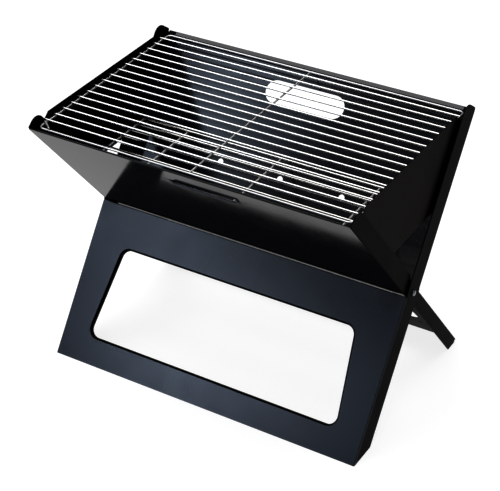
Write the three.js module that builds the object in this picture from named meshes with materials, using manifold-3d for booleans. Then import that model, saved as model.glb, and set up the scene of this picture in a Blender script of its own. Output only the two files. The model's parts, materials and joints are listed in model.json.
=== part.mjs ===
// Folding camp grill: two crossed sheet-metal frames turning on a pair of pivot rivets, a V-shaped
// firebox between their upper halves, two drop-in side plates, a charcoal grate and a cooking grate.
// Millimetres, +Z up, +X along the width, the front towards -Y, the feet at Z = 0.

import * as THREE from 'three';
import { mergeVertices } from 'three/addons/utils/BufferGeometryUtils.js';
import Module from 'manifold-3d';

const wasm = await Module();
wasm.setup();

// Driving dimensions
const WIDTH = 450;                  // over the two outer rails
const PIVOT_HEIGHT = 165;
const LEAN = THREE.MathUtils.degToRad(37.4);   // each frame's angle from upright
const UPPER_LENGTH = 234;           // from the pivot to the top edge of a wall
const SHEET = 1;
const STRIP = 1.5;                  // thickness of the side rails
const GAP = 0.3;                    // between pieces that touch

// Outer frame: front leg panel below, back wall above
const OUTER_HALF = 16;              // half the outer rails' depth
const TAB_RISE = 2;                 // the rails' rounded tops over the wall's edge
const TAB_RADIUS = 14;
const BACK_WALL_LOW = 7;            // the back wall's lower edge, above the pivot
const HANDLE_LENGTH = 115;
const HANDLE_HEIGHT = 30;
const HANDLE_ALONG = 191.5;
const VENT_PITCH = 90;
const VENT_ALONG = 85;
const VENT_RADIUS = 4.2;

// Inner frame: front wall above, rear leg panel below
const INNER_HALF = 9.8;
const FLANGE_DEPTH = 14.2;          // the upper flange's inner edge, from the frame's middle
const FLANGE_START = 17;
const FLANGE_FULL = 24;
const RAIL_CLEARANCE = 1.5;         // between the outer and the inner rail
const FRONT_WALL_LOW = 10;
const SLOT_CENTRE = 18.5;           // the finger slot sits a little to the right
const SLOT_LENGTH = 98;
const SLOT_ALONG = 203;
const SLOT_OPEN = 4;
const LIP_OUT = 3;
const LIP_DROP = 8;

// Windows and hems of the leg panels
const WINDOW_RADIUS = 12;
const WINDOW_TOP = -61;
const WINDOW_TOP_HALF = 172;
const FRONT_WINDOW = { low: -183, half: 186 };
const REAR_WINDOW = { low: -165, half: 184 };
const RETURN_DEPTH = 5;             // the front window's bent-back edge
const HEM_HEIGHT = 5;
const HEM_THICKNESS = 1.4;
const HEM_SETBACK = 14;             // plain corner at each end of a hem
const TIE_HOLE = { half: 180, along: -176.5, radius: 2 };

// Pivot hardware
const RIVET_RADIUS = 2.5;
const BORE_RADIUS = 2.9;
const HEAD_RADIUS = 3.8;
const HEAD_HEIGHT = 2.4;
const TAIL_RADIUS = 4.5;
const TAIL_HEIGHT = 1.2;
const WASHER_RADIUS = 6;

// Side plates
const PLATE_LOW = 247;
const PLATE_SHOULDER = 338;
const PLATE_TOP = 351;
const PLATE_TOP_HALF = 112;
const PLATE_CHAMFER_HALF = 124;
const PLATE_CHAMFER_LOW = 341;
const PLATE_FIT = 0.4;              // to the walls and to the flanges
const LEDGE_DEPTH = 8;
const LEDGE_HALF = 60;
const GRATE_TAB_AT = 70;
const GRATE_TAB_HALF = 8;

// Wire grates
const WIRE = 1.25;                  // radius of the cooking grate's wire
const HEAVY_WIRE = 1.75;            // radius of the charcoal grate's cross wires
const GRATE_HEIGHT = 341;           // the cooking grate's frame wire
const GRATE_FRONT = -136;
const GRATE_REAR = 142;
const GRATE_HALF = 216;
const GRATE_CORNER = 6;
const COOKING_BARS = 16;            // between the frame's front and rear bars
const BAR_OVERHANG = 2.5;
const CROSS_WIRE_AT = 2;
const TIE_WIRE = 1.2;
const TIE_BACK = 12;                // where the tie meets the side wire, from the front bar
const TIE_ALONG = 16;               // where it meets the front bar, from the side wire
const CHARCOAL_BARS = 9;
const CHARCOAL_PITCH = 16.5;
const CHARCOAL_MIDDLE = 1;
const CHARCOAL_BAR_HALF = 217;
const CHARCOAL_WIRES_AT = [-213, -142, 0, 142, 213];

// Facets
const SECTION_SEGMENTS = 8;
const OUTLINE_SEGMENTS = 5;
const TURNED_SEGMENTS = 20;
const DOME_STEPS = 5;
const CORNER_STEPS = 4;
const WIRE_SIDES = 8;

// Worked out from the driving dimensions
const outerFace = WIDTH / 2;
const outerInside = outerFace - STRIP;
const innerFace = outerInside - RAIL_CLEARANCE;
const innerInside = innerFace - STRIP;
const plateFace = innerInside - PLATE_FIT;
const plateInside = plateFace - SHEET;
const ledgeTop = PLATE_LOW + SHEET;
const barHeight = GRATE_HEIGHT + 2 * WIRE + GAP;
const tabTop = GRATE_HEIGHT - WIRE - GAP;

// Materials
const finish = (color, roughness, metalness) => (
  () => new THREE.MeshStandardMaterial({ color, roughness, metalness }));
const coatedSheet = finish(0x14161b, 0.38, 0.3);
const glossSheet = finish(0x0c0c0e, 0.2, 0.3);
const platedWire = finish(0xd6d8da, 0.2, 1);
const zincRivet = finish(0xb9bcbf, 0.35, 1);

// Solids and booleans
function toSolid(geometry) {
  const bare = geometry.index ? geometry.toNonIndexed() : geometry.clone();
  bare.deleteAttribute('normal');
  bare.deleteAttribute('uv');
  const merged = mergeVertices(bare, 1e-4);
  return new wasm.Manifold(new wasm.Mesh({
    numProp: 3,
    vertProperties: new Float32Array(merged.attributes.position.array),
    triVerts: new Uint32Array(merged.index.array),
  }));
}

function toGeometry(solid) {
  const mesh = solid.getMesh();
  const geometry = new THREE.BufferGeometry();
  geometry.setAttribute('position', new THREE.BufferAttribute(new Float32Array(mesh.vertProperties), 3));
  geometry.setIndex(new THREE.BufferAttribute(new Uint32Array(mesh.triVerts), 1));
  geometry.computeVertexNormals();
  return geometry;
}

function combine(base, { add = [], cut = [] }) {
  let solid = toSolid(base);
  for (const piece of add) solid = solid.add(toSolid(piece));
  for (const piece of cut) solid = solid.subtract(toSolid(piece));
  return toGeometry(solid);
}

// Shapes
function polygon(corners) {
  return new THREE.Shape(corners.map(([a, b]) => new THREE.Vector2(a, b)));
}

function roundedPolygon(corners, radius) {
  const shape = new THREE.Shape();
  corners.forEach(([x, y], i) => {
    const corner = new THREE.Vector2(x, y);
    const [before, after] = [corners.at(i - 1), corners[(i + 1) % corners.length]].map(
      ([a, b]) => new THREE.Vector2(a, b).sub(corner).normalize());
    const half = Math.acos(before.dot(after)) / 2;
    const reach = radius / Math.tan(half);
    const start = corner.clone().addScaledVector(before, reach);
    const end = corner.clone().addScaledVector(after, reach);
    const middle = before.clone().add(after).normalize().multiplyScalar(radius / Math.sin(half)).add(corner);
    if (i === 0) shape.moveTo(start.x, start.y);
    else shape.lineTo(start.x, start.y);
    const angle = (point) => Math.atan2(point.y - middle.y, point.x - middle.x);
    shape.absarc(middle.x, middle.y, radius, angle(start), angle(end), before.cross(after) > 0);
  });
  return shape;
}

function window(size, grow = 0) {
  return roundedPolygon([
    [-size.half - grow, size.low - grow],
    [size.half + grow, size.low - grow],
    [WINDOW_TOP_HALF + grow, WINDOW_TOP + grow],
    [-WINDOW_TOP_HALF - grow, WINDOW_TOP + grow],
  ], WINDOW_RADIUS + grow);
}

function stadium(length, height, middle) {
  const shape = new THREE.Shape();
  const straight = (length - height) / 2;
  shape.absarc(straight, middle, height / 2, -Math.PI / 2, Math.PI / 2, false);
  shape.absarc(-straight, middle, height / 2, Math.PI / 2, 3 * Math.PI / 2, false);
  return shape;
}

function disc(x, y, radius) {
  return new THREE.Shape().absarc(x, y, radius, 0, 2 * Math.PI, false);
}

function extruded(outline, depth, curveSegments) {
  return new THREE.ExtrudeGeometry(outline, { depth, bevelEnabled: false, curveSegments });
}

// A section in depth and height, drawn out along the width
function alongWidth(section, from, to) {
  const geometry = extruded(section, to - from, SECTION_SEGMENTS);
  const [width, depth, height] = [[1, 0, 0], [0, 1, 0], [0, 0, 1]].map((axis) => new THREE.Vector3(...axis));
  geometry.applyMatrix4(new THREE.Matrix4().makeBasis(depth, height, width));
  return geometry.translate(from, 0, 0);
}

// An outline in width and height, given a thickness in depth
function throughDepth(outline, from, to) {
  return extruded(outline, to - from, OUTLINE_SEGMENTS).rotateX(Math.PI / 2).translate(0, to, 0);
}

function block(width, depth, height) {
  const spans = [width, depth, height];
  const geometry = new THREE.BoxGeometry(...spans.map(([from, to]) => to - from));
  return geometry.translate(...spans.map(([from, to]) => (from + to) / 2));
}

// Where a leaning frame's line at the given depth meets the floor, measured along the frame
const floorAt = (depth, lean) => depth * Math.tan(lean) - PIVOT_HEIGHT / Math.cos(lean);

// A sheet across a frame, its lower edge cut level with the floor or square at a height
function sheetSection(depth, low, high) {
  const [lowA, lowB] = depth.map((d) => (typeof low === 'function' ? low(d) : low));
  return polygon([[depth[0], lowA], [depth[1], lowB], [depth[1], high], [depth[0], high]]);
}

function hem(half, depth, top) {
  return block([HEM_SETBACK - half, half - HEM_SETBACK], depth, [top - HEM_HEIGHT, top]);
}

// The window's edge, bent back from the sheet
function windowReturn(size, depth) {
  const ring = window(size, SHEET);
  ring.holes.push(window(size));
  return throughDepth(ring, ...depth);
}

// Outer frame
function outerRail(side) {
  const front = -OUTER_HALF;
  const rear = OUTER_HALF;
  const frontSeat = front + SHEET + GAP;
  const rearSeat = rear - SHEET - GAP;
  const top = UPPER_LENGTH + TAB_RISE;
  const seatTop = panelTop() + GAP;
  const seatLow = BACK_WALL_LOW - GAP;
  const outline = polygon([
    [frontSeat, floorAt(frontSeat, LEAN)], [rear, floorAt(rear, LEAN)], [rear, seatLow], [rearSeat, seatLow],
    [rearSeat, top],
  ]);
  outline.absarc(front + TAB_RADIUS, top - TAB_RADIUS, TAB_RADIUS, Math.PI / 2, Math.PI, false);
  outline.lineTo(front, seatTop);
  outline.lineTo(frontSeat, seatTop);
  outline.holes.push(disc(0, 0, BORE_RADIUS));
  const faces = [side * outerInside, side * outerFace].sort((a, b) => a - b);
  return alongWidth(outline, ...faces);
}

// The front panel's top edge stops just under the front wall, which rests on it when the grill is open
function panelTop() {
  const hemFace = -OUTER_HALF + SHEET + HEM_THICKNESS;
  return -(INNER_HALF + GAP + hemFace * Math.cos(2 * LEAN)) / Math.sin(2 * LEAN);
}

function frontLegPanel() {
  const face = -OUTER_HALF;
  const back = face + SHEET;
  const sheet = alongWidth(
    sheetSection([face, back], (depth) => floorAt(depth, LEAN), panelTop()), -outerFace, outerFace);
  return combine(sheet, {
    add: [
      hem(outerFace, [back - GAP, back + HEM_THICKNESS], panelTop()),
      windowReturn(FRONT_WINDOW, [back - GAP, back + RETURN_DEPTH]),
    ],
    cut: [throughDepth(window(FRONT_WINDOW), face - 1, back + RETURN_DEPTH + 1)],
  });
}

function backWall() {
  const face = OUTER_HALF - SHEET;
  const section = sheetSection([face, OUTER_HALF], BACK_WALL_LOW, UPPER_LENGTH);
  const vents = [-VENT_PITCH, 0, VENT_PITCH].map((x) => disc(x, VENT_ALONG, VENT_RADIUS));
  const holes = [stadium(HANDLE_LENGTH, HANDLE_HEIGHT, HANDLE_ALONG), ...vents];
  return combine(alongWidth(section, -outerFace, outerFace), {
    add: [hem(outerFace, [face - HEM_THICKNESS, face + GAP], UPPER_LENGTH)],
    cut: holes.map((hole) => throughDepth(hole, face - 1, OUTER_HALF + 1)),
  });
}

// Inner frame
function innerRail(side) {
  const front = -INNER_HALF;
  const rear = INNER_HALF;
  const frontSeat = front + SHEET + GAP;
  const rearSeat = rear - SHEET - GAP;
  const seatTop = rearPanelTop() + GAP;
  const outline = polygon([
    [front, floorAt(front, -LEAN)], [rearSeat, floorAt(rearSeat, -LEAN)], [rearSeat, seatTop],
    [rear, seatTop], [rear, FLANGE_START], [FLANGE_DEPTH, FLANGE_FULL],
  ]);
  const radius = FLANGE_DEPTH;
  outline.absarc(FLANGE_DEPTH - radius, UPPER_LENGTH - radius, radius, 0, Math.PI / 2, false);
  outline.lineTo(frontSeat, UPPER_LENGTH);
  outline.lineTo(frontSeat, FRONT_WALL_LOW - GAP);
  outline.lineTo(front, FRONT_WALL_LOW - GAP);
  outline.holes.push(disc(0, 0, BORE_RADIUS));
  const faces = [side * innerInside, side * innerFace].sort((a, b) => a - b);
  return alongWidth(outline, ...faces);
}

function frontWall() {
  const face = -INNER_HALF;
  const back = face + SHEET;
  const sheet = alongWidth(sheetSection([face, back], FRONT_WALL_LOW, UPPER_LENGTH), -innerFace, innerFace);
  const slot = [SLOT_CENTRE - SLOT_LENGTH / 2, SLOT_CENTRE + SLOT_LENGTH / 2];
  const slotLow = SLOT_ALONG - SLOT_OPEN / 2;
  const lip = polygon([
    [face + SHEET / 2, slotLow - LIP_DROP], [face + SHEET / 2, slotLow], [face - LIP_OUT, slotLow],
    [face - LIP_OUT, slotLow - SHEET],
  ]);
  return combine(sheet, {
    add: [
      hem(innerFace, [back - GAP, back + HEM_THICKNESS], UPPER_LENGTH),
      alongWidth(lip, ...slot),
    ],
    cut: [block(slot, [face - 1, back + 1], [slotLow, slotLow + SLOT_OPEN])],
  });
}

// The rear panel's top edge stops just outside the back wall
function rearPanelTop() {
  const hemFace = INNER_HALF - SHEET - HEM_THICKNESS;
  return (hemFace * Math.cos(2 * LEAN) - OUTER_HALF - GAP) / Math.sin(2 * LEAN);
}

function rearLegPanel() {
  const back = INNER_HALF;
  const face = back - SHEET;
  const sheet = alongWidth(
    sheetSection([face, back], (depth) => floorAt(depth, -LEAN), rearPanelTop()), -innerFace, innerFace);
  const opening = throughDepth(window(REAR_WINDOW), face - 1, back + 1);
  const tieHoles = [-1, 1].map((side) => throughDepth(
    disc(side * TIE_HOLE.half, TIE_HOLE.along, TIE_HOLE.radius), face - 1, back + 1));
  return combine(sheet, {
    add: [
      hem(innerFace, [face - HEM_THICKNESS, face + GAP], rearPanelTop()),
    ],
    cut: [opening, ...tieHoles],
  });
}

// Pivot hardware, turned about the width axis
function turned(profile, side) {
  const points = profile.map(([radius, x]) => new THREE.Vector2(radius, x));
  return new THREE.LatheGeometry(points, TURNED_SEGMENTS).rotateZ(-side * Math.PI / 2);
}

function pivotRivet(side) {
  const seat = outerFace + GAP;
  const tail = innerInside - GAP;
  const dome = (HEAD_RADIUS ** 2 + HEAD_HEIGHT ** 2) / (2 * HEAD_HEIGHT);
  const profile = [
    [0, tail - TAIL_HEIGHT], [TAIL_RADIUS, tail - TAIL_HEIGHT], [TAIL_RADIUS, tail], [RIVET_RADIUS, tail],
    [RIVET_RADIUS, seat],
  ];
  for (let i = 0; i <= DOME_STEPS; i++) {
    const radius = HEAD_RADIUS * (1 - i / DOME_STEPS);
    profile.push([radius, seat + HEAD_HEIGHT - dome + Math.sqrt(dome ** 2 - radius ** 2)]);
  }
  return turned(profile, side);
}

function pivotWasher(side) {
  const faces = [innerFace + GAP, outerInside - GAP];
  return turned([
    [BORE_RADIUS, faces[0]], [WASHER_RADIUS, faces[0]], [WASHER_RADIUS, faces[1]], [BORE_RADIUS, faces[1]],
    [BORE_RADIUS, faces[0]],
  ], side);
}

// Side plates, wedged between the two walls
const wallLine = (depth, height) => depth / Math.cos(LEAN) + (height - PIVOT_HEIGHT) * Math.tan(LEAN);

function sidePlate(side) {
  const front = (height) => -wallLine(INNER_HALF - SHEET - PLATE_FIT, height);
  const rear = (height) => wallLine(OUTER_HALF - SHEET - PLATE_FIT, height);
  const outline = polygon([
    [front(PLATE_LOW), PLATE_LOW], [rear(PLATE_LOW), PLATE_LOW], [rear(PLATE_SHOULDER), PLATE_SHOULDER],
    [PLATE_CHAMFER_HALF, PLATE_CHAMFER_LOW], [PLATE_TOP_HALF, PLATE_TOP], [-PLATE_TOP_HALF, PLATE_TOP],
    [-PLATE_CHAMFER_HALF, PLATE_CHAMFER_LOW], [front(PLATE_SHOULDER), PLATE_SHOULDER],
  ]);
  const across = (from, to) => [side * from, side * to].sort((a, b) => a - b);
  const bent = across(plateInside - LEDGE_DEPTH, plateInside + GAP);
  const tab = (y) => block(bent, [y - GRATE_TAB_HALF, y + GRATE_TAB_HALF], [tabTop - SHEET, tabTop]);
  return combine(alongWidth(outline, ...across(plateInside, plateFace)), {
    add: [
      block(bent, [-LEDGE_HALF, LEDGE_HALF], [PLATE_LOW, ledgeTop]),
      tab(-GRATE_TAB_AT),
      tab(GRATE_TAB_AT),
    ],
  });
}

// Wires
function wireAcross(half, radius, y, z) {
  const wire = new THREE.CylinderGeometry(radius, radius, 2 * half, WIRE_SIDES);
  return wire.rotateZ(Math.PI / 2).translate(0, y, z);
}

function wireAlong(from, to, radius, x, z) {
  return new THREE.CylinderGeometry(radius, radius, to - from, WIRE_SIDES).translate(x, (from + to) / 2, z);
}

// A wire bent through given points, one ring of the tube at each point
class BentWire extends THREE.Curve {
  constructor(points) {
    super();
    this.points = points;
  }

  getPoint(t, target = new THREE.Vector3()) {
    const place = Math.min(t, 1) * (this.points.length - 1);
    const index = Math.min(Math.floor(place), this.points.length - 2);
    return target.lerpVectors(this.points[index], this.points[index + 1], place - index);
  }

  getPointAt(u, target) {
    return this.getPoint(u, target);
  }

  getTangentAt(u, target) {
    return this.getTangent(u, target);
  }
}

function bentTube(points, radius) {
  const extrudePath = new BentWire(points);
  const steps = points.length - 1;
  return new THREE.ExtrudeGeometry(disc(0, 0, radius), { extrudePath, steps, curveSegments: WIRE_SIDES / 4 });
}

// The frame wire runs round from one side of its butt weld, at the middle of the front bar, to the other
function grateFrame() {
  const points = [new THREE.Vector3(GAP / 2, GRATE_FRONT, GRATE_HEIGHT)];
  const side = GRATE_HALF - GRATE_CORNER;
  const front = GRATE_FRONT + GRATE_CORNER;
  const rear = GRATE_REAR - GRATE_CORNER;
  [[side, front], [side, rear], [-side, rear], [-side, front]].forEach(([x, y], corner) => {
    for (let i = 0; i <= CORNER_STEPS; i++) {
      const angle = (corner - 1 + i / CORNER_STEPS) * Math.PI / 2;
      points.push(new THREE.Vector3(
        x + GRATE_CORNER * Math.cos(angle), y + GRATE_CORNER * Math.sin(angle), GRATE_HEIGHT));
    }
  });
  points.push(new THREE.Vector3(-GAP / 2, GRATE_FRONT, GRATE_HEIGHT));
  return bentTube(points, WIRE);
}

// The short wire that ties the frame's front left corner
function cornerTie() {
  const start = new THREE.Vector3(-GRATE_HALF, GRATE_FRONT + TIE_BACK, barHeight);
  const end = new THREE.Vector3(TIE_ALONG - GRATE_HALF, GRATE_FRONT, barHeight);
  return bentTube([start, end], TIE_WIRE);
}

// Assembly
const grill = new THREE.Group();

function put(parent, name, geometry, material) {
  const mesh = new THREE.Mesh(geometry, material);
  mesh.name = name;
  parent.add(mesh);
}

const sides = [['left', -1], ['right', 1]];

const outerFrame = new THREE.Group();
outerFrame.position.z = PIVOT_HEIGHT;
outerFrame.rotation.x = -LEAN;
put(outerFrame, 'front_leg_panel', frontLegPanel(), coatedSheet());
put(outerFrame, 'back_wall', backWall(), glossSheet());
for (const [word, side] of sides) {
  put(outerFrame, `outer_rail_${word}`, outerRail(side), coatedSheet());
  put(outerFrame, `pivot_rivet_${word}`, pivotRivet(side), zincRivet());
  put(outerFrame, `pivot_washer_${word}`, pivotWasher(side), zincRivet());
}
grill.add(outerFrame);

const innerFrame = new THREE.Group();
innerFrame.position.z = PIVOT_HEIGHT;
innerFrame.rotation.x = LEAN;
put(innerFrame, 'front_wall', frontWall(), glossSheet());
put(innerFrame, 'rear_leg_panel', rearLegPanel(), coatedSheet());
for (const [word, side] of sides) put(innerFrame, `inner_rail_${word}`, innerRail(side), coatedSheet());
grill.add(innerFrame);

for (const [word, side] of sides) put(grill, `side_plate_${word}`, sidePlate(side), coatedSheet());

put(grill, 'cooking_grate_frame', grateFrame(), platedWire());
put(grill, 'cooking_cross_wire',
  wireAlong(GRATE_FRONT + WIRE + GAP, GRATE_REAR - WIRE - GAP, WIRE, CROSS_WIRE_AT, GRATE_HEIGHT),
  platedWire());
put(grill, 'cooking_corner_tie', cornerTie(), platedWire());
const barPitch = (GRATE_REAR - GRATE_FRONT) / (COOKING_BARS + 1);
for (let i = 1; i <= COOKING_BARS; i++) {
  const bar = wireAcross(GRATE_HALF + BAR_OVERHANG, WIRE, GRATE_FRONT + i * barPitch, barHeight);
  put(grill, `cooking_bar_${i}`, bar, platedWire());
}

const crossHeight = ledgeTop + GAP + HEAVY_WIRE;
const charcoalHeight = crossHeight + HEAVY_WIRE + GAP + WIRE;
const charcoalHalf = (CHARCOAL_BARS - 1) / 2 * CHARCOAL_PITCH + WIRE;
CHARCOAL_WIRES_AT.forEach((x, i) => {
  const [from, to] = [CHARCOAL_MIDDLE - charcoalHalf, CHARCOAL_MIDDLE + charcoalHalf];
  put(grill, `charcoal_cross_wire_${i + 1}`, wireAlong(from, to, HEAVY_WIRE, x, crossHeight), platedWire());
});
for (let i = 0; i < CHARCOAL_BARS; i++) {
  const y = CHARCOAL_MIDDLE + (i - (CHARCOAL_BARS - 1) / 2) * CHARCOAL_PITCH;
  put(grill, `charcoal_bar_${i + 1}`, wireAcross(CHARCOAL_BAR_HALF, WIRE, y, charcoalHeight), platedWire());
}

// The origin goes to the middle of the footprint, on the floor
grill.updateMatrixWorld(true);
const bounds = new THREE.Box3().setFromObject(grill, true);
grill.position.y = -(bounds.min.y + bounds.max.y) / 2;

export default grill;
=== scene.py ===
"""The folding camp grill: bent sheet metal, rails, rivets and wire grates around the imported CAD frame."""
import json
import math

import bmesh
import bpy
from mathutils import Matrix, Vector


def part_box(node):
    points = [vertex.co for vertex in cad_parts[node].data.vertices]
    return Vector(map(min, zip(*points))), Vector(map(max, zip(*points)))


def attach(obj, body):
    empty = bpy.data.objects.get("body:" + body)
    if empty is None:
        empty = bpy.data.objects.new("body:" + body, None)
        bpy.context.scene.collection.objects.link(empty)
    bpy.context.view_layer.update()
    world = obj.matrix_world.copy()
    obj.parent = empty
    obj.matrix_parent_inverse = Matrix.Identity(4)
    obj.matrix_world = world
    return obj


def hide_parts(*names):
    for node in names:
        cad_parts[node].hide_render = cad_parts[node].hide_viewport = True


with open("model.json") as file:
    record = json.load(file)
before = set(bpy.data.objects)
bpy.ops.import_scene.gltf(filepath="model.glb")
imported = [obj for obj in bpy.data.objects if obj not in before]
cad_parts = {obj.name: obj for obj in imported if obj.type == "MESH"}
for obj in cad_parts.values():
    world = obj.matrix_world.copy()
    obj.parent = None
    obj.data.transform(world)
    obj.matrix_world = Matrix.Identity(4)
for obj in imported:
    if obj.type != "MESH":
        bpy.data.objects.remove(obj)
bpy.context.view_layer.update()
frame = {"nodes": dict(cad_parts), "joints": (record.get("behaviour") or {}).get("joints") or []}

MM = 0.001

# Camera
CAMERA_AZIMUTH = math.radians(33.34)
CAMERA_ELEVATION = math.radians(34.25)
CAMERA_ROLL = math.radians(-2.34)
CAMERA_DISTANCE = 2.0143
CAMERA_TARGET = Vector((0.0013, -0.0159, 0.1676))
LENS = 115.04
SENSOR_WIDTH = 36
CLIP_END = 50

# Softboxes to the front left: azimuth, height, width, depth, power
SOFTBOXES = (
    (41, 2.15, 0.24, 0.6, 1.7), (36.5, 2.15, 0.2, 0.6, 0.5), (38.5, 1.6, 0.25, 0.25, 1.6),
    (31, 1.32, 0.35, 0.25, 3.4), (23, 1.4, 0.3, 0.3, 0.7),
)
SOFTBOX_DISTANCE = 2.6
SOFTBOX_COLOUR = (0.66, 0.79, 1.0)
SOFTBOX_AIM = (0, 0, 0.15)

# Overhead light, world and floor
OVERHEAD_PLACE = (-0.5, 0.1, 2.6)
OVERHEAD_AIM = (0, 0, 0.1)
OVERHEAD_SIZE = (3.2, 3.2)
OVERHEAD_POWER = 100
WORLD_COLOUR = (0.92, 0.95, 1.0, 1)
WORLD_STRENGTH = 0.14
VIEW_GAMMA = 0.75
FLOOR_REACH = 9
FLOOR_TONES = ((0.26, 0.26, 0.26), (0.29, 0.29, 0.29))
FLOOR_GLOW = 0.83

# Sheet metal, in millimetres
SHEET = 1.0
BEND = 1.6              # outer radius of a bend
BEND_STEPS = 6
EDGE = 0.22             # rounding of a cut edge
SEAM = 0.1              # how far a rail's edge tucks into the neighbouring bend
HEM_RADIUS = 1.2
HEM_HEIGHT = 5.0
HEM_OPEN = 0.8          # how far its free edge stands off
HEM_SETBACK = 14.0
HEM_STEPS = 8
SMALL_ARC = 4           # steps round a small corner
LARGE_ARC = 12
HOLE_ARC = 14           # steps round half a hole
FOOT_STEPS = 2
SHEET_MERGE = 0.004     # points of a sheet nearer than this are one
RETURN_DEPTH = 6.0
WINDOW_RADIUS = 12.0
WINDOW_BEND = 2.6
WINDOW_TOP = -61.0
WINDOW_TOP_HALF = 172.0
FRONT_WINDOW = (-183.0, 186.0)      # its lower edge and that edge's half width
REAR_WINDOW = (-165.0, 184.0)
TIE_HOLE = (180.0, -176.5, 2.0)     # across, along, radius
TAB_RADIUS = 14.0
FLANGE_CORNER = 14.2
FLANGE_START = 17.0
FLANGE_FULL = 24.0
HANDLE = (115.0, 30.0, 191.5)       # length, height, place along the wall
VENTS_AT = (-90.0, 0.0, 90.0)
VENT_ALONG = 85.0
VENT_RADIUS = 4.2
SLOT_CENTRE = 18.5
SLOT_LENGTH = 98.0
SLOT_LOW = 201.0
SLOT_OPEN = 4.0
LIP_DROP = 8.0
LIP_END = 7.0           # how far the lip takes to rise at each end
# The lip's section, as (out, up from the slot)
LIP = ((0, -8), (0.1, -7), (0.5, -6), (1.1, -5), (1.8, -4), (2.5, -3), (3.1, -2.1), (3.5, -1.3),
       (3.6, -0.7), (3.4, -0.2), (2.9, 0.1), (2.2, 0.2), (1.7, 0.1))
LIP_STEPS = 46          # along the lip
LIP_SHEET = 0.9         # thickness of the front wall's sheet
LIP_PROUD = 1.0         # how far out the lip's coat turns satin
PLATE_CUT_HALF = 124.0
PLATE_CUT_LOW = 341.0
PLATE_TOP_HALF = 112.0
SHOULDER_DROP = 3.0     # from a plate's cut corner to its shoulder
LEDGE_HALF = 60.0
LEDGE_RELIEF = 1.0      # gap beside a ledge's bend
TAB_AT = 70.0
TAB_HALF = 8.0
TAB_LEG = 10.0
GRATE_GAP = 0.3         # between the cooking grate and its tabs
RAIL_CORNER = 3.0
RAIL_STEP = 1.5         # rise of the slope at a panel's top
TOP_CORNER = 2.0        # rounding of a panel's top corners
FOOT_CORNER = 4.0
FOOT_BAND = 0.1         # the height over which a foot's points are levelled with the floor

# Pivot hardware, in millimetres
RIVET_RADIUS = 2.5
BORE_RADIUS = 2.9
HEAD_RADIUS = 3.8
HEAD_RIM = 0.9          # the straight part below the dome
HEAD_STANDOFF = 0.05
DOME_STEPS = 10
TAIL = ((0, 0.7), (1.1, 0.6), (1.9, 0.15), (2.7, 0), (3.8, 0.25), (4.5, 0.8), (4.5, 1.2))   # radius, outward
TURNED_SEGMENTS = 48
TURNED_EDGE = 0.15
TURNED_MERGE = 0.001

# Wires, in millimetres
WIRE = 1.25
HEAVY_WIRE = 1.75
TIE_WIRE = 1.2
WIRE_SIDES = 14
WIRE_CHAMFER = 0.45
WIRE_END = 0.7          # share of the radius left at a deburred end
WIRE_STEPS = 8
TIE_INSET = 0.7         # share of the tie's radius between its end and its box
COOKING_BARS = 16
CHARCOAL_BARS = 9
CHARCOAL_CROSS_WIRES = 5
GRATE_CORNER = 6.0
WELD_LENGTH = 1.9
WELD_HEIGHT = 0.8
WELD_SEGMENTS = 12
WELD_RINGS = 8

fold = next(joint for joint in frame["joints"] if joint["name"] == "frame_fold")
PIVOT = Vector(fold["pos_m"])
LEAN = math.radians(fold["range_deg"][1] / 2)


def leaning(angle):
    """Places a frame's own millimetres (across, through, along) in the world."""
    return Matrix.Translation(PIVOT) @ Matrix.Rotation(angle, 4, "X") @ Matrix.Scale(MM, 4)


OUTER = leaning(-LEAN)
INNER = leaning(LEAN)
UPRIGHT = Matrix.Scale(MM, 4)


def local_box(node, place):
    """A CAD node's lowest and highest corners in a frame's own millimetres."""
    back = place.inverted()
    points = [back @ vertex.co for vertex in frame["nodes"][node].data.vertices]
    return [Vector(pick(p[axis] for p in points) for axis in range(3)) for pick in (min, max)]


# ---------------------------------------------------------------- materials


def node_tree(name):
    material = bpy.data.materials.new(name)
    material.use_nodes = True
    nodes, links = material.node_tree.nodes, material.node_tree.links
    return material, nodes, links, nodes["Principled BSDF"]


def noise(nodes, links, scale, detail=2.0, stretch=(1, 1, 1)):
    """Noise over the object's own coordinates, in features of 1 / scale metres."""
    where = nodes.new("ShaderNodeTexCoord")
    mapping = nodes.new("ShaderNodeMapping")
    mapping.inputs["Scale"].default_value = stretch
    texture = nodes.new("ShaderNodeTexNoise")
    texture.inputs["Scale"].default_value = scale
    texture.inputs["Detail"].default_value = detail
    links.new(where.outputs["Object"], mapping.inputs["Vector"])
    links.new(mapping.outputs["Vector"], texture.inputs["Vector"])
    return texture.outputs["Fac"]


def remap(nodes, links, value, span, to):
    scale = nodes.new("ShaderNodeMapRange")
    scale.inputs["From Min"].default_value, scale.inputs["From Max"].default_value = span
    scale.inputs["To Min"].default_value, scale.inputs["To Max"].default_value = to
    links.new(value, scale.inputs["Value"])
    return scale.outputs["Result"]


def blend_colours(nodes, links, factor, first, second):
    mix = nodes.new("ShaderNodeMix")
    mix.data_type = "RGBA"
    links.new(factor, mix.inputs["Factor"])
    for socket, colour in ((mix.inputs[6], first), (mix.inputs[7], second)):
        if isinstance(colour, tuple):
            socket.default_value = (*colour, 1)
        else:
            links.new(colour, socket)
    return mix.outputs[2]


def bumps(nodes, links, shader, layers):
    """Stacks bump layers: (height, strength, distance in metres)."""
    normal = None
    for height, strength, distance in layers:
        bump = nodes.new("ShaderNodeBump")
        bump.inputs["Strength"].default_value = strength
        bump.inputs["Distance"].default_value = distance
        links.new(height, bump.inputs["Height"])
        if normal is not None:
            links.new(normal, bump.inputs["Normal"])
        normal = bump.outputs["Normal"]
    links.new(normal, shader.inputs["Normal"])


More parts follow.
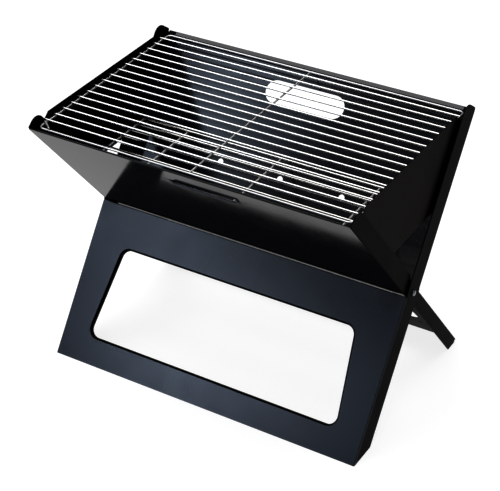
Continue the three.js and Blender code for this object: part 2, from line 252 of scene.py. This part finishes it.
def coated(name, tints, worn_and_highlight, roughness, peel, ior):
    """Heat-proof coating on sheet: two tints, worn specks, edges lightened as rubbed wear and painted
    highlight, uneven gloss and orange peel.
    """
    material, nodes, links, shader = node_tree(name)
    cloud = remap(nodes, links, noise(nodes, links, 9, 3), (0.35, 0.65), (0, 1))
    base = blend_colours(nodes, links, cloud, *tints)
    specks = remap(nodes, links, noise(nodes, links, 900, 1), (0.66, 0.78), (0, 0.35))
    base = blend_colours(nodes, links, specks, base, worn_and_highlight)
    geometry = nodes.new("ShaderNodeNewGeometry")
    # Painted highlight and wear: ridges and bends, found by pointiness, lighten towards the worn colour like
    # the light line a rounded bend catches.
    ridge_wear_and_highlight = remap(nodes, links, geometry.outputs["Pointiness"], (0.53, 0.62), (0, 0.5))
    base = blend_colours(nodes, links, ridge_wear_and_highlight, base, worn_and_highlight)
    links.new(base, shader.inputs["Base Color"])
    sheen = remap(nodes, links, noise(nodes, links, 30, 4), (0.3, 0.7), roughness)
    links.new(sheen, shader.inputs["Roughness"])
    shader.inputs["IOR"].default_value = ior
    bumps(nodes, links, shader, [
        (noise(nodes, links, 12, 0), peel, 0.0003),
        (noise(nodes, links, 420, 1), peel, 0.00008),
        (noise(nodes, links, 2600, 1), peel, 0.00003),
    ])
    return material


def metal(name, colours, roughness, stretch, grain):
    """Plated metal: two tones, uneven polish and drawn or turned grain along one axis."""
    material, nodes, links, shader = node_tree(name)
    tone = remap(nodes, links, noise(nodes, links, 60, 3), (0.3, 0.7), (0, 1))
    links.new(blend_colours(nodes, links, tone, *colours), shader.inputs["Base Color"])
    shader.inputs["Metallic"].default_value = 1.0
    polish = remap(nodes, links, noise(nodes, links, 150, 3), (0.3, 0.7), roughness)
    links.new(polish, shader.inputs["Roughness"])
    bumps(nodes, links, shader, [(noise(nodes, links, 1, 2, stretch), grain, 0.00005)])
    return material


satin = coated("satin coat", ((0.011, 0.014, 0.023), (0.014, 0.018, 0.029)), (0.03, 0.033, 0.04),
               (0.21, 0.25), 0.15, 1.55)
gloss = coated("gloss coat", ((0.0012, 0.0012, 0.0015), (0.002, 0.002, 0.0026)), (0.02, 0.02, 0.02),
               (0.09, 0.13), 0.1, 1.2)
liner = coated("liner coat", ((0.003, 0.004, 0.006), (0.005, 0.006, 0.010)), (0.04, 0.04, 0.045),
               (0.1, 0.14), 0.06, 1.5)
# Dark matte coat of the rails and rear panel; also laid on bends of the front leg panel and front wall as
# painted shade.
rail_coat_and_painted_shade = coated("rail coat and painted shade", ((0.0022, 0.0017, 0.0016), (0.0035, 0.0025, 0.0024)), (0.02, 0.02, 0.02),
                   (0.36, 0.42), 0.2, 1.06)
plate_coat = coated("plate coat", ((0.0035, 0.0018, 0.0016), (0.005, 0.0027, 0.0024)), (0.02, 0.018, 0.016),
                    (0.3, 0.36), 0.2, 1.06)
bar_metal = metal("plated bars", ((0.74, 0.72, 0.69), (0.66, 0.64, 0.62)), (0.2, 0.28),
                  (60, 3000, 3000), 0.1)
wire_metal = metal("plated wires", ((0.62, 0.61, 0.60), (0.54, 0.53, 0.52)), (0.36, 0.42),
                   (3000, 60, 3000), 0.1)
weld_metal = metal("weld metal", ((0.45, 0.45, 0.46), (0.28, 0.27, 0.26)), (0.3, 0.45),
                   (1500, 1500, 1500), 0.5)
rivet_metal = metal("zinc", ((0.24, 0.25, 0.26), (0.18, 0.19, 0.20)), (0.3, 0.42),
                    (200, 2500, 2500), 0.4)

# ---------------------------------------------------------------- meshes


def finished(obj, name, material, body, nodes, place):
    """Puts a mesh drawn in local millimetres in the world and hands it to the frame."""
    obj.data.transform(place)
    obj.name = name
    obj.data.materials.clear()
    obj.data.materials.append(material)
    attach(obj, body)
    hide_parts(*nodes)
    return obj


def recoat_and_paint_shade(obj, place, material, chosen):
    """Gives some faces another coat, also a dark coat laid on bends as painted shade. chosen(across, through,
    along) picks them by their middle.
    """
    back = place.inverted()
    obj.data.materials.append(material)
    for polygon in obj.data.polygons:
        across, through, along = back @ polygon.center
        if chosen(abs(across), through, along):
            polygon.material_index = len(obj.data.materials) - 1


def applied(bm, modifiers=()):
    """An object with the modifiers, given as (type, settings), made part of its mesh."""
    mesh = bpy.data.meshes.new("mesh")
    bm.to_mesh(mesh)
    bm.free()
    obj = bpy.data.objects.new("piece", mesh)
    bpy.context.scene.collection.objects.link(obj)
    for kind, settings in modifiers:
        modifier = obj.modifiers.new(kind, kind)
        for key, value in settings.items():
            setattr(modifier, key, value)
    bpy.context.view_layer.update()
    baked = bpy.data.meshes.new_from_object(obj.evaluated_get(bpy.context.evaluated_depsgraph_get()))
    obj.modifiers.clear()
    obj.data = baked
    return obj


ROUNDED = ("BEVEL", {"width": EDGE, "segments": 2, "limit_method": "ANGLE", "angle_limit": math.radians(50),
                     "use_clamp_overlap": False})
WEIGHTED = ("WEIGHTED_NORMAL", {"mode": "FACE_AREA", "weight": 100})


class Sheet:
    """A pressed sheet. Its outer face is drawn as flats and rows, then it gets its thickness."""

    def __init__(self):
        self.bm = bmesh.new()

    def flat(self, loops, at):
        """Fills the first loop, less the others. at turns a loop's point into a place."""
        edges = []
        for loop in loops:
            verts = [self.bm.verts.new(at(*point)) for point in loop]
            edges += [self.bm.edges.new(pair) for pair in zip(verts, verts[1:] + verts[:1])]
        bmesh.ops.triangle_fill(self.bm, use_beauty=True, edges=edges)

    def rows(self, rows, closed=False):
        """Quads between successive rows of places."""
        grid = [[self.bm.verts.new(place) for place in row] for row in rows]
        for low, high in zip(grid, grid[1:]):
            pairs = list(zip(low, high))
            ring = pairs + pairs[:1] if closed else pairs
            for (a, b), (c, d) in zip(ring, ring[1:]):
                self.bm.faces.new((a, c, d, b))

    def solid(self, thickness, facing, foot=None):
        """Gives the sheet its thickness. foot, if given as (the along value drawn there, the frame's
        place), is trimmed level with the floor."""
        bm = self.bm
        bmesh.ops.remove_doubles(bm, verts=bm.verts, dist=SHEET_MERGE)
        bmesh.ops.recalc_face_normals(bm, faces=bm.faces)
        widest = max(bm.faces, key=lambda face: face.calc_area())
        if widest.normal.dot(Vector(facing)) < 0:
            bmesh.ops.reverse_faces(bm, faces=bm.faces)
        for face in bm.faces:
            face.smooth = True
        obj = applied(bm, [("SOLIDIFY", {
            "thickness": thickness, "offset": -1, "use_even_offset": True, "use_quality_normals": True})])
        bm = bmesh.new()
        bm.from_mesh(obj.data)
        bpy.data.objects.remove(obj)
        if foot is not None:
            trim_foot(bm, *foot)
        for face in bm.faces:
            face.smooth = True
        return applied(bm, [ROUNDED, WEIGHTED])


def floor_along(through, place):
    """Where the line at this depth through a frame meets the floor, along the frame."""
    return -(place @ Vector((0, through, 0))).z / (place.to_3x3() @ Vector((0, 0, 1))).z


def trim_foot(bm, along, place):
    """Slides a frame's foot along the frame until it is level with the floor."""
    up = (place.to_3x3() @ Vector((0, 0, 1))).z
    for vert in bm.verts:
        if vert.co.z < along + FOOT_BAND:
            vert.co.z -= (place @ vert.co).z / up


def arc(middle, radius, start, end, steps):
    turn = (end - start) / steps
    return [(middle[0] + radius * math.cos(start + i * turn), middle[1] + radius * math.sin(start + i * turn))
            for i in range(steps + 1)]


def circle(middle, radius, steps=28):
    return arc(middle, radius, 0, 2 * math.pi, steps)[:-1]


def rounded_corner(before, corner, after, radius, steps=8):
    """The arc that replaces a polygon's corner, given the points on either side of it."""
    corner = Vector(corner)
    before = (Vector(before) - corner).normalized()
    after = (Vector(after) - corner).normalized()
    half = before.angle(after) / 2
    middle = corner + (before + after).normalized() * (radius / math.sin(half))
    start = corner + before * (radius / math.tan(half)) - middle
    end = corner + after * (radius / math.tan(half)) - middle
    angle = math.atan2(start.y, start.x)
    turn = math.atan2(start.x * end.y - start.y * end.x, start.dot(end))
    return arc(middle, radius, angle, angle + turn, steps)


def rounded(corners, radius, steps=8):
    """A polygon with every corner rounded, as (across, along) points."""
    neighbours = zip(corners[-1:] + corners[:-1], corners, corners[1:] + corners[:1])
    return [point for three in neighbours for point in rounded_corner(*three, radius, steps)]


def window(size, grow):
    low, half = size
    return rounded([
        (-half - grow, low - grow), (half + grow, low - grow),
        (WINDOW_TOP_HALF + grow, WINDOW_TOP + grow), (-WINDOW_TOP_HALF - grow, WINDOW_TOP + grow),
    ], WINDOW_RADIUS + grow)


def stadium(length, height, middle):
    reach = (length - height) / 2
    return (arc((reach, middle), height / 2, -math.pi / 2, math.pi / 2, HOLE_ARC)
            + arc((-reach, middle), height / 2, math.pi / 2, 3 * math.pi / 2, HOLE_ARC))


def panel_outline(half, low, high, foot_corner=0):
    """A panel's flat part: bends along both sides, a setback hem along the top."""
    corner = TOP_CORNER
    inside = half - BEND
    hem = half - HEM_SETBACK
    fold = high - HEM_RADIUS
    right = [(inside, low)]
    if foot_corner:
        right = arc((inside - foot_corner, low + foot_corner), foot_corner, -math.pi / 2, 0, FOOT_STEPS)
    right.append((inside, high - corner))
    top = arc((inside - corner, high - corner), corner, 0, math.pi / 2, SMALL_ARC)
    top += [(hem, high), (hem, fold)]
    mirrored = [(-x, s) for x, s in reversed(right + top)]
    return right + top + mirrored


def turned_back(radius, steps):
    """How far a bend has come (across, through) at each of its steps."""
    return [(radius * (1 - math.sin(a)), radius * (1 - math.cos(a)))
            for a in (math.pi / 2 * i / steps for i in range(steps + 1))]


def add_side_bends(sheet, half, low, high, depth, inward):
    """The sheet's sides, bent round towards the rails. inward is +1 or -1 through the frame."""
    for side in (-1, 1):
        edge = [(side * (half - reach), depth + inward * back)
                for reach, back in turned_back(BEND, BEND_STEPS)]
        sheet.rows([[(x, y, low), (x, y, high)] for x, y in edge])


def add_hem(sheet, half, high, depth, inward):
    """The top edge, folded back on itself and flattened."""
    reach = half - HEM_SETBACK
    fold = high - HEM_RADIUS
    profile = [(HEM_RADIUS * (1 - math.cos(a)), HEM_RADIUS * math.sin(a))
               for a in (math.pi * i / HEM_STEPS for i in range(HEM_STEPS + 1))]
    profile.append((2 * HEM_RADIUS + HEM_OPEN, HEM_RADIUS - HEM_HEIGHT))
    sheet.rows([[(x, depth + inward * back, fold + up) for x in (-reach, reach)] for back, up in profile])


def add_window(sheet, size, depth, inward):
    """A window's edge, bent back from the sheet."""
    rows = [[(x, depth + inward * back, s) for x, s in window(size, reach)]
            for reach, back in turned_back(WINDOW_BEND, BEND_STEPS)]
    rows.append([(x, depth + inward * RETURN_DEPTH, s) for x, s in window(size, 0)])
    sheet.rows(rows, closed=True)


def leg_panel(node, body, place, size, outward, material, holes=()):
    """A leg panel whose outer face looks outward, -1 to the frame's front or +1 to its rear.
    The front one's window has a bent-back edge."""
    low, high = local_box(node, place)
    depth = low.y if outward < 0 else high.y
    sheet = Sheet()
    bent = outward < 0
    foot_corner = 0 if bent else FOOT_CORNER
    outline = panel_outline(high.x, low.z, high.z, foot_corner)
    sheet.flat([outline, window(size, WINDOW_BEND if bent else 0), *holes], lambda x, s: (x, depth, s))
    add_side_bends(sheet, high.x, low.z + foot_corner, high.z - TOP_CORNER, depth, -outward)
    add_hem(sheet, high.x, high.z, depth, -outward)
    if bent:
        add_window(sheet, size, depth, -outward)
    obj = sheet.solid(SHEET, (0, outward, 0), foot=(low.z, place))
    finished(obj, "look_" + node, material, body, [node], place)
    if bent:
        low_edge, low_half = size
        narrowing = (WINDOW_TOP_HALF - low_half) / (WINDOW_TOP - low_edge)
        # Painted shade: the hem and the window's bent-back edge take the dark matte rail coat, drawing the dark
        # lines these bends show.
        recoat_and_paint_shade(obj, place, rail_coat_and_painted_shade, lambda across, through, along: (
            along > high.z - HEM_RADIUS
            or low_edge - WINDOW_BEND < along < WINDOW_TOP + WINDOW_BEND
            and across < low_half + narrowing * (along - low_edge) + WINDOW_BEND))


def back_wall():
    low, high = local_box("back_wall", OUTER)
    sheet = Sheet()
    holes = [stadium(*HANDLE), *(circle((x, VENT_ALONG), VENT_RADIUS) for x in VENTS_AT)]
    sheet.flat([panel_outline(high.x, low.z, high.z), *holes], lambda x, s: (x, high.y, s))
    add_side_bends(sheet, high.x, low.z, high.z - TOP_CORNER, high.y, -1)
    add_hem(sheet, high.x, high.z, high.y, -1)
    obj = sheet.solid(SHEET, (0, 1, 0))
    finished(obj, "look_back_wall", liner, "outer_frame", ["back_wall"], OUTER)


def front_wall():
    """The front wall, with a lip pressed out below its finger slot and rolled over at its edge."""
    low, high = local_box("front_wall", INNER)
    depth = -local_box("rear_leg_panel", INNER)[1].y
    across, along = LIP_STEPS, len(LIP) - 1
    left, right = SLOT_CENTRE - SLOT_LENGTH / 2, SLOT_CENTRE + SLOT_LENGTH / 2
    xs = [left + SLOT_LENGTH * i / across for i in range(across + 1)]
    ss = [SLOT_LOW - LIP_DROP * (1 - i / along) for i in range(along + 1)]
    round_end = SLOT_OPEN / 2
    sheet = Sheet()
    opening = ([(x, ss[0]) for x in xs] + [(right, s) for s in ss[1:]]
               + arc((right - round_end, SLOT_LOW + round_end), round_end, 0, math.pi / 2, SMALL_ARC)
               + arc((left + round_end, SLOT_LOW + round_end), round_end, math.pi / 2, math.pi, SMALL_ARC)
               + [(left, s) for s in reversed(ss[1:])])
    sheet.flat([panel_outline(high.x, low.z, high.z), opening], lambda x, s: (x, depth, s))
    rows = []
    for s, (out, up) in zip(ss, LIP):
        row = []
        for x in xs:
            t = min(min(x - left, right - x) / LIP_END, 1)
            press = t * t * (3 - 2 * t)
            row.append((x, depth - out * press, s + press * (SLOT_LOW + up - s)))
        rows.append(row)
    sheet.rows(rows)
    add_side_bends(sheet, high.x, low.z, high.z - TOP_CORNER, depth, 1)
    add_hem(sheet, high.x, high.z, depth, 1)
    obj = sheet.solid(LIP_SHEET, (0, -1, 0))
    finished(obj, "look_front_wall", gloss, "inner_frame", ["front_wall"], INNER)
    # Painted shade: the side bends take the dark matte rail coat instead of catching a bright line of reflected
    # floor.
    recoat_and_paint_shade(obj, INNER, rail_coat_and_painted_shade, lambda across, through, along: across > high.x - BEND)
    recoat_and_paint_shade(obj, INNER, satin, lambda across, through, along: through < depth - LIP_PROUD)


def rail(node, body, place, outline):
    """A side rail, from its outline in (through, along)."""
    low, high = local_box(node, place)
    side = 1 if high.x > 0 else -1
    face = high.x if side > 0 else low.x
    sheet = Sheet()
    sheet.flat([outline, circle((0, 0), BORE_RADIUS)], lambda t, s: (face, t, s))
    obj = sheet.solid(high.x - low.x, (side, 0, 0))
    finished(obj, "look_" + node, rail_coat_and_painted_shade, body, [node], place)


def outer_rail(side):
    node = "outer_rail_" + side
    top = local_box(node, OUTER)[1].z
    panel, wall = local_box("front_leg_panel", OUTER), local_box("back_wall", OUTER)
    front, rear = panel[0].y, wall[1].y
    seat = front + BEND - SEAM
    rear_seat = rear - BEND + SEAM
    outline = [(depth, floor_along(depth, OUTER)) for depth in (seat, rear)]
    outline += [(rear, wall[0].z - SEAM), (rear_seat, wall[0].z - SEAM)]
    outline += arc((rear_seat - RAIL_CORNER, top - RAIL_CORNER), RAIL_CORNER, 0, math.pi / 2, SMALL_ARC)
    outline += arc((front + TAB_RADIUS, top - TAB_RADIUS), TAB_RADIUS, math.pi / 2, math.pi, LARGE_ARC)
    outline += [(front, panel[1].z + RAIL_STEP), (seat, panel[1].z)]
    rail(node, "outer_frame", OUTER, outline)


def inner_rail(side):
    node = "inner_rail_" + side
    high = local_box(node, INNER)[1]
    panel, wall = local_box("rear_leg_panel", INNER), local_box("front_wall", INNER)
    rear = panel[1].y
    front = -rear
    seat = rear - BEND + SEAM
    front_seat = front + BEND - SEAM
    feet = [(depth, floor_along(depth, INNER)) for depth in (front, seat)]
    outline = [feet[0], *rounded_corner(feet[0], feet[1], (seat, panel[1].z), FOOT_CORNER)]
    outline += [(seat, panel[1].z), (rear, panel[1].z + RAIL_STEP), (rear, FLANGE_START), (high.y, FLANGE_FULL)]
    flange_middle = (high.y - FLANGE_CORNER, high.z - FLANGE_CORNER)
    outline += arc(flange_middle, FLANGE_CORNER, 0, math.pi / 2, LARGE_ARC)
    outline += [(front_seat, high.z), (front_seat, wall[0].z), (front, wall[0].z - SEAM)]
    rail(node, "inner_frame", INNER, outline)


def side_plate(side):
    node = "side_plate_" + side
    low, high = (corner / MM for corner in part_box(node))
    sign = 1 if side == "right" else -1
    face = high.x if sign > 0 else low.x
    ledge_reach = high.x - low.x
    points = [vertex.co / MM for vertex in frame["nodes"][node].data.vertices]
    bottom = [p.y for p in points if p.z < low.z + 0.01 and abs(p.x - face) < 0.01]
    middle = PIVOT.y / MM
    shoulder = PLATE_CUT_LOW - SHOULDER_DROP
    notch = low.z + BEND
    relief = LEDGE_HALF + LEDGE_RELIEF
    outline = [
        (min(bottom), low.z), (middle - relief, low.z), (middle - relief, notch),
        (middle - LEDGE_HALF, notch), (middle + LEDGE_HALF, notch),
        (middle + relief, notch), (middle + relief, low.z), (max(bottom), low.z),
        (high.y, shoulder), (middle + PLATE_CUT_HALF, PLATE_CUT_LOW), (middle + PLATE_TOP_HALF, high.z),
        (middle - PLATE_TOP_HALF, high.z), (middle - PLATE_CUT_HALF, PLATE_CUT_LOW), (low.y, shoulder),
    ]
    sheet = Sheet()
    sheet.flat([outline], lambda y, z: (face, y, z))
    profile = [(face - sign * (BEND - math.cos(a) * BEND), notch - math.sin(a) * BEND)
               for a in (math.pi / 2 * i / BEND_STEPS for i in range(BEND_STEPS + 1))]
    profile.append((face - sign * ledge_reach, low.z))
    sheet.rows([[(x, middle + y, z) for y in (-LEDGE_HALF, LEDGE_HALF)] for x, z in profile])
    obj = sheet.solid(SHEET, (sign, 0, 0))
    tabs = [grate_tab(sign, face, middle + y, ledge_reach) for y in (-TAB_AT, TAB_AT)]
    finished(obj, "look_" + node, plate_coat, node, [node], UPRIGHT)
    for word, tab in zip(("front", "rear"), tabs):
        finished(tab, f"grate_tab_{word}_{side}", plate_coat, node, [], UPRIGHT)


def grate_tab(sign, face, y, reach):
    """An angle spot-welded inside a side plate, for the cooking grate to rest on."""
    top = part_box("cooking_grate_frame")[0].z / MM - GRATE_GAP
    inner = face - sign * SHEET
    bend = [(inner - sign * (BEND + SHEET - BEND * math.cos(a)), top - BEND + BEND * math.sin(a))
            for a in (math.pi / 2 * i / BEND_STEPS for i in range(BEND_STEPS + 1))]
    profile = [(inner - sign * SHEET, top - TAB_LEG), *bend, (face - sign * reach, top)]
    sheet = Sheet()
    sheet.rows([[(x, y + across, z) for across in (-TAB_HALF, TAB_HALF)] for x, z in profile])
    return sheet.solid(SHEET, (-sign, 0, 0))


# ---------------------------------------------------------------- turned parts


def turned(profile, name, node, middle, sign):
    """A part turned about the pivot line, from (radius, outward) points."""
    bm = bmesh.new()
    rings = []
    for radius, out in profile:
        ring = [(out * sign, radius * math.cos(a), radius * math.sin(a))
                for a in (2 * math.pi * i / TURNED_SEGMENTS for i in range(TURNED_SEGMENTS))]
        rings.append([bm.verts.new(place) for place in ring])
    for low, high in zip(rings, rings[1:]):
        for i in range(TURNED_SEGMENTS):
            j = (i + 1) % TURNED_SEGMENTS
            bm.faces.new((low[i], low[j], high[j], high[i]))
    bmesh.ops.remove_doubles(bm, verts=bm.verts, dist=TURNED_MERGE)
    bmesh.ops.recalc_face_normals(bm, faces=bm.faces)
    for face in bm.faces:
        face.smooth = True
    obj = applied(bm, [("BEVEL", {"width": TURNED_EDGE, "segments": 2, "limit_method": "ANGLE",
                                  "angle_limit": math.radians(40)}), WEIGHTED])
    place = Matrix.Translation(middle) @ UPRIGHT
    return finished(obj, name, rivet_metal, "outer_frame", [node], place)


def rivet(side):
    node = "pivot_rivet_" + side
    low, high = (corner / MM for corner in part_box(node))
    sign = 1 if side == "right" else -1
    ends = sorted((abs(low.x), abs(high.x)))
    rail_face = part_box("outer_rail_right")[1].x / MM
    head = ends[1] - rail_face
    dome = [(HEAD_RADIUS * math.cos(a), rail_face + HEAD_RIM + (head - HEAD_RIM) * math.sin(a))
            for a in (math.pi / 2 * i / DOME_STEPS for i in range(DOME_STEPS + 1))]
    tail = ends[0]
    under_head = rail_face + HEAD_STANDOFF
    profile = [(radius, tail + out) for radius, out in TAIL]
    profile += [(RIVET_RADIUS, tail + TAIL[-1][1]), (RIVET_RADIUS, under_head)]
    profile += [(HEAD_RADIUS, under_head), *dome]
    turned(profile, "look_" + node, node, PIVOT, sign)


def washer(side):
    node = "pivot_washer_" + side
    low, high = (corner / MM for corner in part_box(node))
    sign = 1 if side == "right" else -1
    ends = sorted((abs(low.x), abs(high.x)))
    radius = (high.y - low.y) / 2
    profile = [(BORE_RADIUS, ends[0]), (radius, ends[0]), (radius, ends[1]), (BORE_RADIUS, ends[1]),
               (BORE_RADIUS, ends[0])]
    turned(profile, "look_" + node, node, PIVOT, sign)


# ---------------------------------------------------------------- wires


def tube(bm, points, radius, closed=False):
    """A wire through the points, in metres. Open ends are cut square and deburred."""
    points = [Vector(p) for p in points]
    radii = [radius] * len(points)
    if not closed:
        chamfer = WIRE_CHAMFER * MM
        first = (points[1] - points[0]).normalized()
        last = (points[-1] - points[-2]).normalized()
        points = [points[0], points[0] + first * chamfer, *points[1:-1],
                  points[-1] - last * chamfer, points[-1]]
        radii = [radius * WIRE_END, radius, *radii[2:], radius, radius * WIRE_END]
    rings = []
    for i, point in enumerate(points):
        before = points[i - 1] if closed or i else point
        after = points[(i + 1) % len(points)] if closed or i < len(points) - 1 else point
        along = (after - before).normalized()
        across = along.cross(Vector((0, 0, 1))).normalized()
        up = across.cross(along)
        rings.append([bm.verts.new(point + radii[i] * (math.cos(a) * across + math.sin(a) * up))
                      for a in (2 * math.pi * k / WIRE_SIDES for k in range(WIRE_SIDES))])
    for low, high in zip(rings, rings[1:] + (rings[:1] if closed else [])):
        for i in range(WIRE_SIDES):
            j = (i + 1) % WIRE_SIDES
            bm.faces.new((low[i], low[j], high[j], high[i]))
    if not closed:
        bm.faces.new(rings[0])
        bm.faces.new(rings[-1])


def wire(node, body, points, radius, material, closed=False):
    bm = bmesh.new()
    tube(bm, points, radius * MM, closed)
    bmesh.ops.recalc_face_normals(bm, faces=bm.faces)
    for face in bm.faces:
        face.smooth = len(face.verts) == 4
    obj = applied(bm, [WEIGHTED])
    finished(obj, "look_" + node, material, body, [node], Matrix.Identity(4))


def straight_wire(node, body, radius, axis, material):
    """A straight wire along one axis of its CAD node's box."""
    low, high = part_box(node)
    middle = (low + high) / 2
    ends = []
    for corner in (low, high):
        end = middle.copy()
        end[axis] = corner[axis]
        ends.append(end)
    wire(node, body, [ends[0].lerp(ends[1], i / WIRE_STEPS) for i in range(WIRE_STEPS + 1)], radius, material)


def grate_frame():
    low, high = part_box("cooking_grate_frame")
    inset = Vector((WIRE * MM, WIRE * MM, 0))
    low, high = low + inset, high - inset
    height = (low.z + high.z) / 2
    corner = GRATE_CORNER * MM
    points = rounded([(low.x, low.y), (high.x, low.y), (high.x, high.y), (low.x, high.y)], corner)
    wire("cooking_grate_frame", "cooking_grate", [(x, y, height) for x, y in points],
         WIRE, wire_metal, closed=True)


def corner_tie():
    """The short diagonal wire across the grate's front left corner."""
    low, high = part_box("cooking_corner_tie")
    height = (low.z + high.z) / 2
    inset = TIE_WIRE * MM * TIE_INSET
    ends = [(low.x + inset, high.y - inset, height), (high.x - inset, low.y + inset, height)]
    wire("cooking_corner_tie", "cooking_grate", ends, TIE_WIRE, wire_metal)


def welds(name, body, places):
    """Small nuggets where crossing wires are spot-welded."""
    size = Matrix.Diagonal((WELD_LENGTH * MM, WELD_LENGTH * MM, WELD_HEIGHT * MM, 1))
    bm = bmesh.new()
    for place in places:
        bmesh.ops.create_uvsphere(bm, u_segments=WELD_SEGMENTS, v_segments=WELD_RINGS, radius=1,
                                  matrix=Matrix.Translation(place) @ size)
    for face in bm.faces:
        face.smooth = True
    finished(applied(bm), name, weld_metal, body, [], Matrix.Identity(4))


def middle_of(node):
    low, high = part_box(node)
    return (low + high) / 2


def make_grates():
    bars = [f"cooking_bar_{i}" for i in range(1, COOKING_BARS + 1)]
    for node in bars:
        straight_wire(node, "cooking_grate", WIRE, 0, bar_metal)
    grate_frame()
    corner_tie()
    straight_wire("cooking_cross_wire", "cooking_grate", WIRE, 1, wire_metal)
    low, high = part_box("cooking_grate_frame")
    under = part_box("cooking_cross_wire")[1].z
    cross = middle_of("cooking_cross_wire").x
    places = [(x, middle_of(node).y, under)
              for node in bars for x in (low.x + WIRE * MM, cross, high.x - WIRE * MM)]
    level = middle_of("cooking_grate_frame").z
    places += [(cross, low.y + 2 * WIRE * MM, level), (cross, high.y - 2 * WIRE * MM, level)]
    welds("cooking_grate_welds", "cooking_grate", places)

    bars = [f"charcoal_bar_{i}" for i in range(1, CHARCOAL_BARS + 1)]
    crosses = [f"charcoal_cross_wire_{i}" for i in range(1, CHARCOAL_CROSS_WIRES + 1)]
    for node in bars:
        straight_wire(node, "charcoal_grate", WIRE, 0, bar_metal)
    for node in crosses:
        straight_wire(node, "charcoal_grate", HEAVY_WIRE, 1, wire_metal)
    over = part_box(crosses[0])[1].z
    welds("charcoal_grate_welds", "charcoal_grate",
          [(middle_of(cross).x, middle_of(bar).y, over) for bar in bars for cross in crosses])


# ---------------------------------------------------------------- studio


def floor():
    bm = bmesh.new()
    bmesh.ops.create_grid(bm, x_segments=8, y_segments=8, size=FLOOR_REACH)
    mesh = bpy.data.meshes.new("studio_floor")
    bm.to_mesh(mesh)
    bm.free()
    obj = bpy.data.objects.new("studio_floor", mesh)
    bpy.context.scene.collection.objects.link(obj)
    material, nodes, links, shader = node_tree("pale floor")
    shade = remap(nodes, links, noise(nodes, links, 2, 2), (0.3, 0.7), (0, 1))
    links.new(blend_colours(nodes, links, shade, *FLOOR_TONES), shader.inputs["Base Color"])
    shader.inputs["Roughness"].default_value = 0.9
    shader.inputs["Specular IOR Level"].default_value = 0.1
    shader.inputs["Emission Color"].default_value = (1, 1, 1, 1)
    shader.inputs["Emission Strength"].default_value = FLOOR_GLOW
    mesh.materials.append(material)


def area_light(name, place, aim, size, power, colour):
    light = bpy.data.lights.new(name, "AREA")
    light.shape = "RECTANGLE"
    light.size, light.size_y = size
    light.energy = power
    light.color = colour
    obj = bpy.data.objects.new(name, light)
    bpy.context.scene.collection.objects.link(obj)
    obj.location = place
    obj.rotation_euler = (Vector(aim) - Vector(place)).to_track_quat("-Z", "Y").to_euler()


def studio():
    world = bpy.data.worlds.new("studio")
    bpy.context.scene.world = world
    world.use_nodes = True
    world.node_tree.nodes["Background"].inputs["Color"].default_value = WORLD_COLOUR
    world.node_tree.nodes["Background"].inputs["Strength"].default_value = WORLD_STRENGTH
    area_light("overhead", OVERHEAD_PLACE, OVERHEAD_AIM, OVERHEAD_SIZE, OVERHEAD_POWER, (1, 1, 1))
    for i, (azimuth, height, width, depth, power) in enumerate(SOFTBOXES):
        turn = math.radians(azimuth)
        place = (-SOFTBOX_DISTANCE * math.sin(turn), -SOFTBOX_DISTANCE * math.cos(turn), height)
        area_light(f"softbox_{i}", place, SOFTBOX_AIM, (width, depth), power, SOFTBOX_COLOUR)
    view = bpy.context.scene.view_settings
    view.view_transform = "Standard"
    view.look = "None"
    view.gamma = VIEW_GAMMA


def camera():
    toward = Vector((math.sin(CAMERA_AZIMUTH) * math.cos(CAMERA_ELEVATION),
                     -math.cos(CAMERA_AZIMUTH) * math.cos(CAMERA_ELEVATION),
                     math.sin(CAMERA_ELEVATION)))
    right = Vector((math.cos(CAMERA_AZIMUTH), math.sin(CAMERA_AZIMUTH), 0))
    up = toward.cross(right)
    turn = Matrix((right, up, toward)).transposed() @ Matrix.Rotation(CAMERA_ROLL, 3, "Z")
    data = bpy.data.cameras.new("camera")
    data.lens = LENS
    data.sensor_width = SENSOR_WIDTH
    data.clip_end = CLIP_END
    obj = bpy.data.objects.new("camera", data)
    obj.matrix_world = Matrix.Translation(CAMERA_TARGET + toward * CAMERA_DISTANCE) @ turn.to_4x4()
    bpy.context.scene.collection.objects.link(obj)
    bpy.context.scene.camera = obj


camera()
studio()
floor()
tie_holes = [circle((side * TIE_HOLE[0], TIE_HOLE[1]), TIE_HOLE[2], 20) for side in (-1, 1)]
leg_panel("front_leg_panel", "outer_frame", OUTER, FRONT_WINDOW, -1, satin)
leg_panel("rear_leg_panel", "inner_frame", INNER, REAR_WINDOW, 1, rail_coat_and_painted_shade, tie_holes)
back_wall()
front_wall()
for word in ("left", "right"):
    outer_rail(word)
    inner_rail(word)
    side_plate(word)
    rivet(word)
    washer(word)
make_grates()
